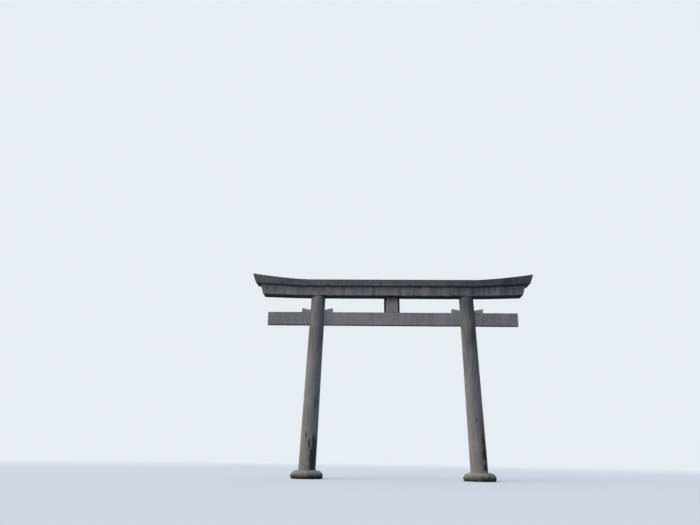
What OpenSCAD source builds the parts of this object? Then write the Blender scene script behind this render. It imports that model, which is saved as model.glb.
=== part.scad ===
// Torii gate of weathered concrete: leaning round pillars on cushion-shaped base stones, a wedged
// tie beam, a short centre strut that carries a bare plaque, and lintels that sweep up at their ends.
// Millimetres. The origin is on the ground, midway between the pillars. X runs along the gate,
// Z is up, and the plaque hangs on the +Y side.

/* [Pillars] */
// Distance between the pillars' axes at the ground
pillar_spacing = 12000; // [9000:50:16000]
// Diameter of a pillar where its axis meets the ground
pillar_foot_d = 1220; // [900:10:1600]
// Diameter of a pillar at the underside of the lower lintel
pillar_top_d = 1044; // [850:2:1200]
// How far a pillar's axis leans inwards between the ground and the lower lintel
pillar_lean_in = 495; // [0:5:900]

/* [Base stones] */
// Largest diameter of a base stone, at its belly
base_d = 2270; // [1700:10:3000]
// Height of a base stone
base_h = 570; // [300:10:900]
// Diameter of the flat top of a base stone
base_top_d = 1270; // [1240:10:1700]
// Diameter of the flat underside of a base stone
base_under_d = 2060; // [1500:10:2260]
// Height of a base stone's belly above the ground
base_belly_z = 200; // [50:10:280]

/* [Tie beam] */
// Height of the tie beam's underside above the ground
tie_z = 10828; // [8500:1:11500]
// Height of the tie beam
tie_h = 960; // [500:2:1100]
// Thickness of the tie beam, from front to back
tie_t = 400; // [250:10:600]
// Length of the tie beam from end to end
tie_len = 18452; // [17400:4:22000]
// Clearance at each side of the tie beam and the wedges in a pillar's mortise
mortise_gap = 2; // [0.5:0.5:8]

/* [Wedges] */
// How far a wedge reaches from the pillar's axis
wedge_reach = 1143; // [800:1:1500]
// Height of a wedge at its thick outer end
wedge_h = 307; // [290:1:500]
// Slope of a wedge's top towards the pillar, in degrees
wedge_slope = 11.5; // [0:0.5:12]

/* [Centre strut] */
// Width of the centre strut
strut_w = 882; // [500:2:1200]
// Thickness of the centre strut, from front to back
strut_t = 400; // [250:10:450]

/* [Lower lintel] */
// Height of the lower lintel's underside above the ground
lower_z = 12980; // [12200:10:14000]
// Height of the lower lintel between the pillars
lower_h = 705; // [400:5:1000]
// Thickness of the lower lintel, from front to back
lower_t = 1060; // [500:10:1300]
// Length of the lower lintel along its underside
lower_len = 19240; // [17000:4:20000]
// How far the top edge of each end leans out past its bottom edge
lower_end_lean = 255; // [0:1:300]
// Rise of the underside at the ends
lower_rise = 95; // [0:5:200]

/* [Sweep of the lintels] */
// How the ends sweep up: 1 is a straight slope, 2 a parabola
sweep_power = 1.5; // [1:0.1:2.5]

/* [Upper lintel] */
// Height of the upper lintel's front face between the pillars
upper_h = 500; // [300:5:700]
// Thickness of the upper lintel, from front to back
upper_t = 1330; // [900:10:1600]
// Length of the upper lintel along its underside
upper_len = 20390; // [20000:10:22000]
// How far the top edge of each end leans out past its bottom edge
upper_end_lean = 245; // [0:1:400]
// Rise of the underside at the ends
upper_under_rise = 248; // [210:1:320]
// Rise of the top edge at the ends
upper_top_rise = 446; // [330:1:600]
// Height of the ridge above the top edges of the front and the back
ridge_h = 90; // [10:5:150]

/* [Plaque] */
// Width of the plaque over its frame
plaque_w = 1170; // [900:10:1500]
// How far the plaque's head reaches above the lower lintel's underside
plaque_head = 210; // [150:5:400]
// Gap between the tie beam's face and the back of the plaque's foot
foot_out = 60; // [50:5:120]
// Gap between the lower lintel's bottom edge and the back of the plaque, which gives its lean
head_out = 83; // [10:1:150]
// Depth of the plaque's foot below the top of the tie beam
foot_drop = 60; // [30:5:150]
// Width of the frame's bars, as seen from the front
bar_w = 150; // [90:5:220]
// Thickness of the frame's bars
bar_t = 130; // [90:5:180]
// Thickness of the board
board_t = 60; // [30:5:80]
// Depth from the back of the frame to the back of the board
board_inset = 20; // [0:5:40]

/* [Plaque ironwork] */
// Length of the ledge under the plaque
ledge_len = 960; // [500:10:1200]
// Thickness of the ledge's plates
ledge_t = 20; // [12:1:40]
// Height of the lip in front of the plaque's foot
lip_h = 55; // [20:5:120]
// Height of the ledge's plate against the tie beam
ledge_plate_h = 200; // [100:10:300]
// Distance between the brackets behind the plaque's head
bracket_spacing = 700; // [400:10:900]
// Width and height of a bracket's arm
bracket_arm = 60; // [30:5:100]
// Width and height of a bracket's wall plate
bracket_plate = 150; // [110:5:200]
// Thickness of a bracket's wall plate
bracket_plate_t = 15; // [8:1:30]

/* [Hidden] */

$fn = 96;

// Steps in each curved stretch of a lintel and of a base stone's side
curve_steps = 16;
side_steps = 10;

concrete_pale = [0.56, 0.55, 0.52];
concrete = [0.47, 0.47, 0.46];
concrete_dark = [0.36, 0.36, 0.35];
stone = [0.52, 0.50, 0.46];
black_wood = [0.10, 0.10, 0.11];
old_iron = [0.20, 0.19, 0.18];

// Heights that follow from the beams that lie on each other
tie_top = tie_z + tie_h;
upper_z = lower_z + lower_h;

// A pillar's lean from the vertical, and the length of its axis up to the lower lintel
pillar_lean = atan(pillar_lean_in / lower_z);
pillar_axis_len = norm([pillar_lean_in, lower_z]);
// Spare length above the lintel's underside, cut away level, so that the tilted cone still covers it
pillar_spare = pillar_top_d * sin(pillar_lean) + 10;
pillar_taper = (pillar_foot_d - pillar_top_d) / pillar_axis_len;

// Distance of a pillar's axis from the middle of the gate, at the height z
function pillar_axis_x(z) = pillar_spacing / 2 - pillar_lean_in * z / lower_z;

// The beams' lengths meet on the pillars' axes, hidden in the mortise or over the pillar's head
tie_joint_x = pillar_axis_x(tie_z + tie_h / 2);
wedge_joint_x = pillar_axis_x(tie_top);
lintel_joint_x = pillar_axis_x(lower_z);

// The lintels are straight between the pillars and sweep up from the outer sides of their heads
sweep_x = lintel_joint_x + pillar_top_d / 2 + pillar_spare;

// Height gained at x by a sweep that reaches rise at end_x
function sweep(x, end_x, rise) = rise * pow(max(0, x - sweep_x) / (end_x - sweep_x), sweep_power);

// The three swept lines: the underside of both lintels and the top edge of the upper one
upper_top_end_x = upper_len / 2 + upper_end_lean;
lower_top_end_x = lower_len / 2 + lower_end_lean;
function lower_under(x) = lower_z + sweep(x, lower_len / 2, lower_rise);
function upper_under(x) = upper_z + sweep(x, upper_len / 2, upper_under_rise);
function upper_top(x) = upper_z + upper_h + sweep(x, upper_top_end_x, upper_top_rise);

// Places along a lintel's end length, from the joint over the pillar to end_x
function stations(end_x) =
    [lintel_joint_x, for (i = [0 : curve_steps]) sweep_x + (end_x - sweep_x) * i / curve_steps];

// The line on which the two lintels meet, as a list of [x, z]
meeting_line = [for (x = stations(upper_len / 2)) [x, upper_under(x)]];

// The same list the other way round
function reversed(list) = [for (i = [len(list) - 1 : -1 : 0]) list[i]];

// Where the back of the plaque's foot stands. The plaque leans out from there past the lower lintel,
// and its length follows from how far its head reaches.
foot_y = tie_t / 2 + foot_out;
foot_z = tie_top - foot_drop;
plaque_lean = atan((lower_t / 2 + head_out - foot_y) / (lower_z - foot_z));
plaque_len = (lower_z + plaque_head - foot_z) / cos(plaque_lean);
// The back plane of the plaque at the height z
function plaque_back_y(z) = foot_y + (z - foot_z) * tan(plaque_lean);
// The brackets hold the middle of the frame's top bar
bracket_z = foot_z + (plaque_len - bar_w / 2) * cos(plaque_lean);

// Draws the children as they are on the right, or mirrored on the left
module on_side(side) {
    if (side < 0) mirror([1, 0, 0]) children();
    else children();
}

// An outline in X and Z, given thickness t across Y
module across(t) {
    rotate([90, 0, 0]) linear_extrude(height = t, center = true) children();
}

// An outline in Y and Z, given width w along X
module along(w) {
    rotate([90, 0, 90]) linear_extrude(height = w, center = true) children();
}

// A solid through rings of points, each ring of the same count and turning the same way
module loft(rings) {
    count = len(rings[0]);
    last = len(rings) - 1;
    side_faces = [
        for (i = [0 : last - 1], j = [0 : count - 1])
            let (a = i * count + j, b = i * count + (j + 1) % count)
                each [[a, b, b + count], [a, b + count, a + count]]
    ];
    start_cap = [for (j = [count - 1 : -1 : 0]) j];
    end_cap = [for (j = [0 : count - 1]) last * count + j];
    polyhedron(points = [for (ring = rings) each ring], faces = concat(side_faces, [start_cap, end_cap]));
}

// Cushion-shaped stone under a pillar: flat below, round at the belly, flat where the pillar stands
module base_stone(side) {
    belly_r = base_d / 2;
    under_r = base_under_d / 2;
    top_r = base_top_d / 2;
    lower_side = [
        for (i = [0 : side_steps]) let (a = 90 * i / side_steps)
            [under_r + (belly_r - under_r) * sin(a), base_belly_z * (1 - cos(a))]
    ];
    upper_side = [
        for (i = [1 : side_steps]) let (a = 90 * i / side_steps)
            [top_r + (belly_r - top_r) * cos(a), base_belly_z + (base_h - base_belly_z) * sin(a)]
    ];
    color(stone)
        translate([side * pillar_spacing / 2, 0, 0])
            rotate_extrude() polygon(concat([[0, 0]], lower_side, upper_side, [[0, base_h]]));
}

// Tapered shaft of the right pillar, cut level at the base stone and at the lower lintel
module pillar_shaft() {
    reach = pillar_spacing;
    intersection() {
        translate([pillar_spacing / 2, 0, 0])
            rotate([0, -pillar_lean, 0])
                cylinder(
                    h = pillar_axis_len + pillar_spare,
                    d1 = pillar_foot_d,
                    d2 = pillar_top_d - pillar_taper * pillar_spare
                );
        translate([0, -reach / 2, base_h]) cube([reach, reach, lower_z - base_h]);
    }
}

// Front view of one wedge on the right pillar: way is 1 for the outer one and -1 for the inner one
module wedge_outline(way) {
    thin_h = wedge_h - wedge_reach * tan(wedge_slope);
    end_x = wedge_joint_x + way * wedge_reach;
    polygon([
        [wedge_joint_x, tie_top],
        [end_x, tie_top],
        [end_x, tie_top + wedge_h],
        [wedge_joint_x, tie_top + thin_h]
    ]);
}

// Hole through the right pillar: the tie beam fills it, and the wedges over it fill its sloping roof
module mortise() {
    hole_t = tie_t + 2 * mortise_gap;
    translate([tie_joint_x - pillar_foot_d, -hole_t / 2, tie_z])
        cube([2 * pillar_foot_d, hole_t, tie_h]);
    for (way = [-1, 1]) across(hole_t) wedge_outline(way);
}

module pillar(side) {
    color(concrete_pale)
        on_side(side)
            difference() {
                pillar_shaft();
                mortise();
            }
}

// One length of the tie beam, from x0 to x1
module tie_beam(x0, x1) {
    color(concrete)
        translate([x0, -tie_t / 2, tie_z]) cube([x1 - x0, tie_t, tie_h]);
}

module wedge(side, way) {
    color(concrete)
        on_side(side) across(tie_t) wedge_outline(way);
}

// Short post between the tie beam and the lower lintel
module centre_strut() {
    color(concrete)
        translate([-strut_w / 2, -strut_t / 2, tie_top]) cube([strut_w, strut_t, lower_z - tie_top]);
}

// Straight length of the lower lintel between the pillars
module lower_lintel_middle() {
    color(concrete)
        translate([-lintel_joint_x, -lower_t / 2, lower_z]) cube([2 * lintel_joint_x, lower_t, lower_h]);
}

// End length of the lower lintel: its top follows the underside of the upper lintel
module lower_lintel_end(side) {
    under_side = [for (x = stations(lower_len / 2)) [x, lower_under(x)]];
    top_end = [lower_top_end_x, lookup(lower_top_end_x, meeting_line)];
    top_side = [for (p = meeting_line) if (p[0] < lower_top_end_x) p, top_end];
    color(concrete)
        on_side(side) across(lower_t) polygon(concat(under_side, reversed(top_side)));
}

// Cross-section of the upper lintel between an underside point and a top point, each given as [x, z].
// The ridge carries on along the line through both, so that a leaning end stays flat.
function upper_ring(under, top) =
    let (lean = (top[0] - under[0]) / (top[1] - under[1]), y = upper_t / 2)
    [
        [under[0], -y, under[1]],
        [under[0], y, under[1]],
        [top[0], y, top[1]],
        [top[0] + ridge_h * lean, 0, top[1] + ridge_h],
        [top[0], -y, top[1]]
    ];

// Straight length of the upper lintel between the pillars
module upper_lintel_middle() {
    y = upper_t / 2;
    top_z = upper_z + upper_h;
    color(concrete_dark)
        along(2 * lintel_joint_x)
            polygon([[-y, upper_z], [y, upper_z], [y, top_z], [0, top_z + ridge_h], [-y, top_z]]);
}

// End length of the upper lintel
module upper_lintel_end(side) {
    top_x = stations(upper_top_end_x);
    rings = [for (i = [0 : len(top_x) - 1]) upper_ring(meeting_line[i], [top_x[i], upper_top(top_x[i])])];
    color(concrete_dark) on_side(side) loft(rings);
}

// Puts the children into the plaque's own frame: X across it, Y out of its back, Z up along its lean
module in_plaque() {
    translate([0, foot_y, foot_z]) rotate([-plaque_lean, 0, 0]) children();
}

// Bare board inside the frame
module plaque_board() {
    w = plaque_w - 2 * bar_w;
    color(black_wood)
        in_plaque() translate([-w / 2, board_inset, bar_w]) cube([w, board_t, plaque_len - 2 * bar_w]);
}

// Upright bar of the plaque's frame, between the cross bars
module plaque_upright(side) {
    color(black_wood)
        in_plaque()
            translate([side * (plaque_w - bar_w) / 2 - bar_w / 2, 0, bar_w])
                cube([bar_w, bar_t, plaque_len - 2 * bar_w]);
}

// Cross bar of the plaque's frame, with its lower edge at the height z along the plaque
module plaque_cross_bar(z) {
    color(black_wood)
        in_plaque() translate([-plaque_w / 2, 0, z]) cube([plaque_w, bar_t, bar_w]);
}

// Iron ledge under the plaque's foot: a plate against the tie beam, a shelf and a lip
module plaque_ledge() {
    color(old_iron) {
        in_plaque()
            along(ledge_len)
                polygon([
                    [-foot_out + ledge_t / 2, -ledge_t],
                    [bar_t + ledge_t, -ledge_t],
                    [bar_t + ledge_t, lip_h],
                    [bar_t, lip_h],
                    [bar_t, 0],
                    [-foot_out + ledge_t / 2, 0]
                ]);
        translate([-ledge_len / 2, tie_t / 2, foot_z - ledge_plate_h])
            cube([ledge_len, ledge_t, ledge_plate_h + ledge_t]);
    }
}

// Iron bracket from the lower lintel's back face to the plaque's top bar
module plaque_bracket(side) {
    wall_y = lower_t / 2;
    low = bracket_z - bracket_arm / 2;
    high = bracket_z + bracket_arm / 2;
    color(old_iron)
        translate([side * bracket_spacing / 2, 0, 0]) {
            along(bracket_arm)
                polygon([[wall_y, low], [plaque_back_y(low), low], [plaque_back_y(high), high], [wall_y, high]]);
            translate([-bracket_plate / 2, wall_y, bracket_z - bracket_plate / 2])
                cube([bracket_plate, bracket_plate_t, bracket_plate]);
        }
}

base_stone(-1);  // base_stone_left
base_stone(1);  // base_stone_right
pillar(-1);  // pillar_left
pillar(1);  // pillar_right
tie_beam(-tie_len / 2, -tie_joint_x);  // tie_beam_left
tie_beam(-tie_joint_x, tie_joint_x);  // tie_beam_middle
tie_beam(tie_joint_x, tie_len / 2);  // tie_beam_right
wedge(-1, 1);  // wedge_left_outer
wedge(-1, -1);  // wedge_left_inner
wedge(1, -1);  // wedge_right_inner
wedge(1, 1);  // wedge_right_outer
centre_strut();
lower_lintel_end(-1);  // lower_lintel_left
lower_lintel_middle();
lower_lintel_end(1);  // lower_lintel_right
upper_lintel_end(-1);  // upper_lintel_left
upper_lintel_middle();
upper_lintel_end(1);  // upper_lintel_right
plaque_board();
plaque_cross_bar(plaque_len - bar_w);  // plaque_frame_top
plaque_cross_bar(0);  // plaque_frame_bottom
plaque_upright(-1);  // plaque_frame_left
plaque_upright(1);  // plaque_frame_right
plaque_ledge();
plaque_bracket(-1);  // plaque_bracket_left
plaque_bracket(1);  // plaque_bracket_right
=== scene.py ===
# %% [markdown]
# # A torii gate of weathered concrete
# A torii marks the way to a shrine, and this one is tall and wide. Round pillars lean towards each
# other on cushion-shaped stones, a tie beam runs through both of them, and a pair of lintels on top
# sweep up at their tips. The construction comes in as a fixed frame, at its real size in metres: X runs
# along the gate, Z is up, and the plaque hangs on the +Y side. This script gives each piece its soft
# edges, its wear and its finish.

# %% Frame
import math

import bmesh
import bpy
import numpy as np
from mathutils import Matrix, Vector, noise


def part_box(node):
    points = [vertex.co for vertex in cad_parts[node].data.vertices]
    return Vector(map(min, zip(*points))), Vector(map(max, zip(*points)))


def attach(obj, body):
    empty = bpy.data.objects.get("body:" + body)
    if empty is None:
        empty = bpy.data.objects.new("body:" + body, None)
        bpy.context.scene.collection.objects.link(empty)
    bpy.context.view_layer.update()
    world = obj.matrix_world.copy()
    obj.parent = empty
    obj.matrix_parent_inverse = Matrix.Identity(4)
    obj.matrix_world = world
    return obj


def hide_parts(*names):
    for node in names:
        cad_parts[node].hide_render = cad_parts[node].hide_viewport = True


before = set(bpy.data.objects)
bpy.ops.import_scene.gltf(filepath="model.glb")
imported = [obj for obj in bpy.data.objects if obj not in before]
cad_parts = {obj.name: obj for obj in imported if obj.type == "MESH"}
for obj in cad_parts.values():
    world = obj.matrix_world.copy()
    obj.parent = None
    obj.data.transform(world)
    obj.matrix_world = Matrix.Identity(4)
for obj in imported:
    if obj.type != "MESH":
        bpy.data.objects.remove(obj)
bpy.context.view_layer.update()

# %% [markdown]
# ## The camera
# The photograph was taken from the height of a person's eye, looking up at the front of the gate. The
# eye is put at that place, and the view is turned in three steps: to the side, up, and a little round
# its own axis. A focal length counted in pixels of the photograph becomes millimetres on a 36 mm sensor.

# %% Camera
PHOTO_WIDTH = 700
FOCAL_PIXELS = 652.6
SENSOR = 36.0
EYE = Vector((-1.307, -47.655, 1.543))
TURN = math.radians(-2.25)
LOOK_UP = math.radians(16.53)
TILT = math.radians(0.835)
CLIP_END = 1000


def linked(name, data):
    """A new object with this data, in the scene."""
    made = bpy.data.objects.new(name, data)
    bpy.context.scene.collection.objects.link(made)
    return made


def view_matrix(eye, turn, look_up, tilt):
    flat = math.cos(look_up)
    forward = Vector((math.sin(turn) * flat, math.cos(turn) * flat, math.sin(look_up)))
    level = Vector((math.cos(turn), -math.sin(turn), 0))
    lift = level.cross(forward)
    right = level * math.cos(tilt) + lift * math.sin(tilt)
    up = lift * math.cos(tilt) - level * math.sin(tilt)
    return Matrix.Translation(eye) @ Matrix((right, up, -forward)).transposed().to_4x4()


lens = bpy.data.cameras.new("eye")
lens.sensor_width = SENSOR
lens.lens = FOCAL_PIXELS / PHOTO_WIDTH * SENSOR
lens.clip_end = CLIP_END
camera = linked("eye", lens)
camera.matrix_world = view_matrix(EYE, TURN, LOOK_UP, TILT)
bpy.context.scene.camera = camera
bpy.context.scene.view_settings.view_transform = "Standard"
print("lens of", round(lens.lens, 2), "mm")

# %% [markdown]
# ## Adding nodes
# The light, the finishes and the shape rules are all node trees. One function adds a node, sets its
# options and fills its inputs, by order or by name, with plain values or with what other nodes give.

# %% Node helper


def plug(tree, value, socket):
    if isinstance(value, bpy.types.NodeSocket):
        tree.links.new(value, socket)
    elif socket.type == "RGBA":
        socket.default_value = (*value, 1)
    else:
        socket.default_value = value


def add_node(tree, kind, inputs=(), **options):
    node = tree.nodes.new(kind)
    for option, choice in options.items():
        setattr(node, option, choice)
    for key, value in inputs.items() if isinstance(inputs, dict) else enumerate(inputs):
        plug(tree, value, node.inputs[key])
    return node.outputs


print("the node helper is ready")

# %% [markdown]
# ## The sky
# Under a cloudy sky light comes from everywhere, and here a good deal more of it from the left, in
# front of the gate. The world does that: a bluish tone all round, a broad warm glow on the left, and a
# little more light from behind. What the camera itself sees behind the gate is a plain pale tone,
# mixed in where a ray comes from the camera or from a mirror or a glass.

# %% Sky
SKY_ALL_ROUND = (0.75, 0.88, 1.14)
SKY_GLOW = (6.55, 6.1, 5.3)
SKY_BEHIND = (0.44, 0.52, 0.64)
GLOW_SIDE = math.radians(-70)
GLOW_HEIGHT = math.radians(25)
GLOW_NARROWNESS = 6.0
BACKDROP = (0.80, 0.85, 0.90)


def seen_directly(tree):
    """1 where a ray comes straight from the camera, or from a mirror or a glass."""
    path = add_node(tree, "ShaderNodeLightPath")
    total = path["Is Camera Ray"]
    for kind in ("Is Glossy Ray", "Is Transmission Ray"):
        total = add_node(tree, "ShaderNodeMath", (total, path[kind]), operation="MAXIMUM")[0]
    return total


def mix_shaders(tree, share, first, second):
    return add_node(tree, "ShaderNodeMixShader", (share, first, second))[0]


def build_sky():
    world = bpy.data.worlds.new("cloudy_sky")
    bpy.context.scene.world = world
    world.use_nodes = True
    tree = world.node_tree
    tree.nodes.clear()
    direction = add_node(tree, "ShaderNodeTexCoord")["Generated"]

    def towards(aim):
        """How far a direction of the sky agrees with aim, from 0 to 1."""
        dot = add_node(tree, "ShaderNodeVectorMath", (direction, aim), operation="DOT_PRODUCT")["Value"]
        return add_node(tree, "ShaderNodeClamp", (dot,))[0]

    def add(share, colour, under):
        return add_node(tree, "ShaderNodeVectorMath", (share, colour, under), operation="MULTIPLY_ADD")[0]

    level = math.cos(GLOW_HEIGHT)
    aim = (math.sin(GLOW_SIDE) * level, -math.cos(GLOW_SIDE) * level, math.sin(GLOW_HEIGHT))
    glow = add_node(tree, "ShaderNodeMath", (towards(aim), GLOW_NARROWNESS), operation="POWER")[0]
    radiance = add(glow, SKY_GLOW, add(towards((0, 1, 0)), SKY_BEHIND, SKY_ALL_ROUND))
    tones = (radiance, BACKDROP)
    light, plain = (add_node(tree, "ShaderNodeBackground", (colour,))[0] for colour in tones)
    add_node(tree, "ShaderNodeOutputWorld", (mix_shaders(tree, seen_directly(tree), light, plain),))
    return len(tree.nodes)


print("the sky has", build_sky(), "nodes")

# %% [markdown]
# ## The ground
# The gate stands on a plain square of ground that is pale to the camera and fades into the backdrop
# far away. For light that bounces up it is as dull as dark earth, so that the undersides of the beams
# stay as dark as they are outdoors.

# %% Ground
GROUND_SEEN = (0.40, 0.41, 0.42)
GROUND_BOUNCE = (0.055, 0.055, 0.055)
GROUND_REACH = 600.0
FADE_START = 30.0
FADE_END = 110.0


def build_ground():
    mesh = bpy.data.meshes.new("ground")
    r = GROUND_REACH
    mesh.from_pydata([(-r, -r, 0), (r, -r, 0), (r, r, 0), (-r, r, 0)], [], [(0, 1, 2, 3)])
    material = bpy.data.materials.new("ground")
    material.use_nodes = True
    tree = material.node_tree
    tree.nodes.clear()
    tones = (GROUND_BOUNCE, GROUND_SEEN)
    dull, pale = (add_node(tree, "ShaderNodeBsdfDiffuse", (colour,))[0] for colour in tones)
    far = add_node(tree, "ShaderNodeEmission", (BACKDROP,))[0]
    place = add_node(tree, "ShaderNodeTexCoord")["Object"]
    away = add_node(tree, "ShaderNodeVectorMath", (place,), operation="LENGTH")["Value"]
    limits = (away, FADE_START, FADE_END)
    fade = add_node(tree, "ShaderNodeMapRange", limits, interpolation_type="SMOOTHSTEP")[0]
    both = mix_shaders(tree, seen_directly(tree), dull, mix_shaders(tree, fade, pale, far))
    add_node(tree, "ShaderNodeOutputMaterial", (both,))
    mesh.materials.append(material)
    ground = linked("ground", mesh)


build_ground()
print("the ground reaches", GROUND_REACH, "m each way")

# %% [markdown]
# ## The moves of a finish
# Every finish is built from the same few moves: read the place on the object, make a noise, turn it
# into a mask, and mix colours through the mask. A small class gives each move one short call.
# Colours are written as a picture shows them, from 0 to 255.

# %% Finish helper


def tone(red, green, blue):
    """A colour as a picture shows it, turned into the linear values that a shader mixes."""
    values = [c / 255 for c in (red, green, blue)]
    return tuple(v / 12.92 if v <= 0.04045 else ((v + 0.055) / 1.055) ** 2.4 for v in values)


def shaded(colour, factor):
    return tuple(c * factor for c in colour)


class Finish:
    """One material, with a call for each move."""

    def __init__(self, name, roughness, gloss):
        self.material = bpy.data.materials.new(name)
        self.material.use_nodes = True
        self.tree = self.material.node_tree
        self.surface = self.tree.nodes["Principled BSDF"].inputs
        self.surface["Roughness"].default_value = roughness
        self.surface["Specular IOR Level"].default_value = gloss
        self.place = self.add("TexCoord")["Object"]
        self.bumps = None

    def add(self, kind, inputs=(), **options):
        return add_node(self.tree, f"ShaderNode{kind}", inputs, **options)

    def sum(self, operation, first, second=0.0, clamp=False):
        return self.add("Math", (first, second), operation=operation, use_clamp=clamp)[0]

    def product(self, first, second, clamp=False):
        return self.sum("MULTIPLY", first, second, clamp)

    def stretched(self, x, y, z, shift=(0.0, 0.0, 0.0)):
        """The place on the object, scaled along each axis: a small scale makes a pattern long that way."""
        return self.add("Mapping", {"Vector": self.place, "Scale": (x, y, z), "Location": shift})[0]

    def height(self):
        return self.add("SeparateXYZ", (self.place,))["Z"]

    def upwards(self):
        """How far the surface faces up: 1 on top, 0 on a wall, -1 below."""
        return self.add("SeparateXYZ", (self.add("NewGeometry")["Normal"],))["Z"]

    def cloud(self, where, scale, detail=4.0, roughness=0.55, distortion=0.0):
        inputs = {"Vector": where, "Scale": scale, "Detail": detail, "Roughness": roughness}
        return self.add("TexNoise", {**inputs, "Distortion": distortion})["Fac"]

    def warped(self, where, scale, amount):
        """A place that a noise pushes about by up to half of amount, so that straight lines wander."""
        wobble = self.add("TexNoise", {"Vector": where, "Scale": scale, "Detail": 5.0})["Color"]
        return self.add("VectorMath", (wobble, (amount,) * 3, where), operation="MULTIPLY_ADD")[0]

    def cells(self, where, scale, feature="F1"):
        return self.add("TexVoronoi", {"Vector": where, "Scale": scale}, feature=feature)["Distance"]

    def mask(self, value, low, high, start=0.0, end=1.0):
        """Goes smoothly from start to end while value goes from low to high."""
        return self.add("MapRange", (value, low, high, start, end), interpolation_type="SMOOTHSTEP")[0]

    def painted(self, name):
        """A value painted on the mesh's own points."""
        return self.add("Attribute", attribute_name=name)["Fac"]

    def mix(self, share, under, over, way="MIX"):
        inputs = {"Factor": share, "A": under, "B": over}
        return self.add("Mix", inputs, data_type="RGBA", blend_type=way)["Result"]

    def tinted(self, colour, tint):
        return self.mix(1.0, colour, tint, "MULTIPLY")

    def relief(self, height, depth, strength=1.0):
        """Adds a bump of this depth in metres on top of the ones before it."""
        inputs = {"Height": height, "Distance": depth, "Strength": strength}
        if self.bumps:
            inputs["Normal"] = self.bumps
        self.bumps = self.add("Bump", inputs)[0]

    def done(self, colour):
        plug(self.tree, colour, self.surface["Base Color"])
        plug(self.tree, self.bumps, self.surface["Normal"])
        print("finish", self.material.name, "has", len(self.tree.nodes), "nodes")
        return self.material


print("a picture's middle grey is", round(tone(128, 128, 128)[0], 3), "to a shader")

# %% [markdown]
# ## Weathered concrete
# Old outdoor concrete is never one grey. Broad clouds of tone lie under it, the hue drifts a little
# between bluish and brownish, and from close by there are mottles and grain. So the first step mixes
# lighter and darker tints of one colour through noises of very different sizes, and the same material
# holds from far and near.

# %% Grey of the concrete
def cast_grey(f, colour):
    """The bare concrete. Gives its colour, and the mottles and the grain for later use."""
    broad = f.mask(f.cloud(f.place, 0.35, 3.0), 0.35, 0.65)
    body = f.mix(broad, shaded(colour, 0.91), shaded(colour, 1.09))
    hue = f.mask(f.cloud(f.stretched(0.8, 0.8, 0.5, (9.0, 2.0, 4.0)), 1.0, 4.0, 0.6), 0.38, 0.62)
    body = f.tinted(body, f.mix(hue, (0.98, 0.995, 1.02), (1.02, 1.00, 0.975)))
    mottle = f.mask(f.cloud(f.place, 4.5, 6.0, 0.65), 0.30, 0.70)
    body = f.mix(mottle, f.tinted(body, (0.88, 0.88, 0.89)), body)
    grain = f.cloud(f.place, 140.0, 3.0, 0.7)
    body = f.mix(f.mask(grain, 0.35, 0.65), f.tinted(body, (0.90, 0.90, 0.90)), body)
    return body, mottle, grain


# %% [markdown]
# Rain draws dark runs down every face and washes pale ones between them, and a run is a noise that is
# squeezed across the face and pulled long down it. Near the top of what a lintel shelters and on the
# undersides the concrete is darker, partly with soot that clings where no water washes and partly with
# painted shade. Where the surface faces up it forms a mossy crust.

# %% Rain, soot and painted shade
# A bluish near-black, both for soot and for painted shade.
SOOT_AND_SHADE = tone(32, 38, 49)
MOSS = tone(80, 84, 60)


def rained_on(f, body, colour, runs, run_width, soot_and_shade_top):
    """Runs, soot and painted shade, specks and moss. Gives the colour, and the thin runs for later use."""
    across = 1.0 / run_width
    wide = f.cloud(f.stretched(across * 0.28, across * 0.28, 0.35), 1.0, 4.0, 0.55, 0.25)
    thin = f.cloud(f.stretched(across, across, 0.80, (3.1, 7.7, 1.3)), 1.0, 6.0, 0.68, 0.15)
    washed = f.cloud(f.stretched(across * 0.6, across * 0.6, 0.60, (1.7, 2.9, 0.4)), 1.0, 5.0, 0.65)
    facing = f.upwards()
    on_walls = f.product(f.mask(f.sum("ABSOLUTE", facing), 0.75, 0.35), runs)
    body = f.mix(f.product(f.mask(washed, 0.50, 0.70, 0.0, 0.5), on_walls), body, shaded(colour, 1.35))
    run = f.sum("ADD", f.mask(wide, 0.44, 0.68, 0.0, 0.36), f.mask(thin, 0.45, 0.66, 0.0, 0.75), clamp=True)
    body = f.mix(f.product(run, on_walls), body, shaded(SOOT_AND_SHADE, 1.1))
    # Darker towards the top, where a lintel shelters the piece: partly soot and partly painted shade.
    if soot_and_shade_top:
        low, high, amount, waver = soot_and_shade_top
        wave = f.mask(f.cloud(f.stretched(2.4, 2.4, 0.3), 1.0, 5.0, 0.6), 0.3, 0.7, -waver, waver)
        body = f.mix(f.mask(f.sum("ADD", f.height(), wave), low, high, 0.0, amount), body, shaded(SOOT_AND_SHADE, 1.4))

    speck = f.mask(f.cloud(f.place, 26.0, 2.0, 0.5), 0.66, 0.74, 0.0, 0.35)
    body = f.mix(speck, body, shaded(colour, 0.55))
    pale = f.product(f.painted("pale"), f.mask(washed, 0.35, 0.62, 0.5, 1.2), clamp=True)
    body = f.mix(pale, body, shaded(colour, 1.5))
    patchy = f.mask(f.cloud(f.place, 3.0, 6.0, 0.7), 0.42, 0.6, 0.25, 0.9)
    growth = f.mix(f.mask(f.cloud(f.place, 9.0, 4.0), 0.4, 0.6), shaded(SOOT_AND_SHADE, 1.3), MOSS)
    body = f.mix(f.product(f.mask(facing, 0.35, 0.8), patchy), body, growth)
    # Undersides darkened: partly soot, partly painted shade under the piece.
    body = f.mix(f.mask(facing, -0.30, -0.80, 0.0, 0.78), body, shaded(SOOT_AND_SHADE, 0.50))
    return body, thin


# %% [markdown]
# Patches of soot and painted shade, rust and lichen that belong to one place are painted on the mesh later,
# as values called grime_and_shade, rust and lichen. This step reads them and breaks their soft edges up with
# the runs or with a ragged noise. Worn edges are a little paler.

# %% Painted marks
RUST = tone(112, 78, 58)
LICHEN = tone(32, 32, 31)


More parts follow.
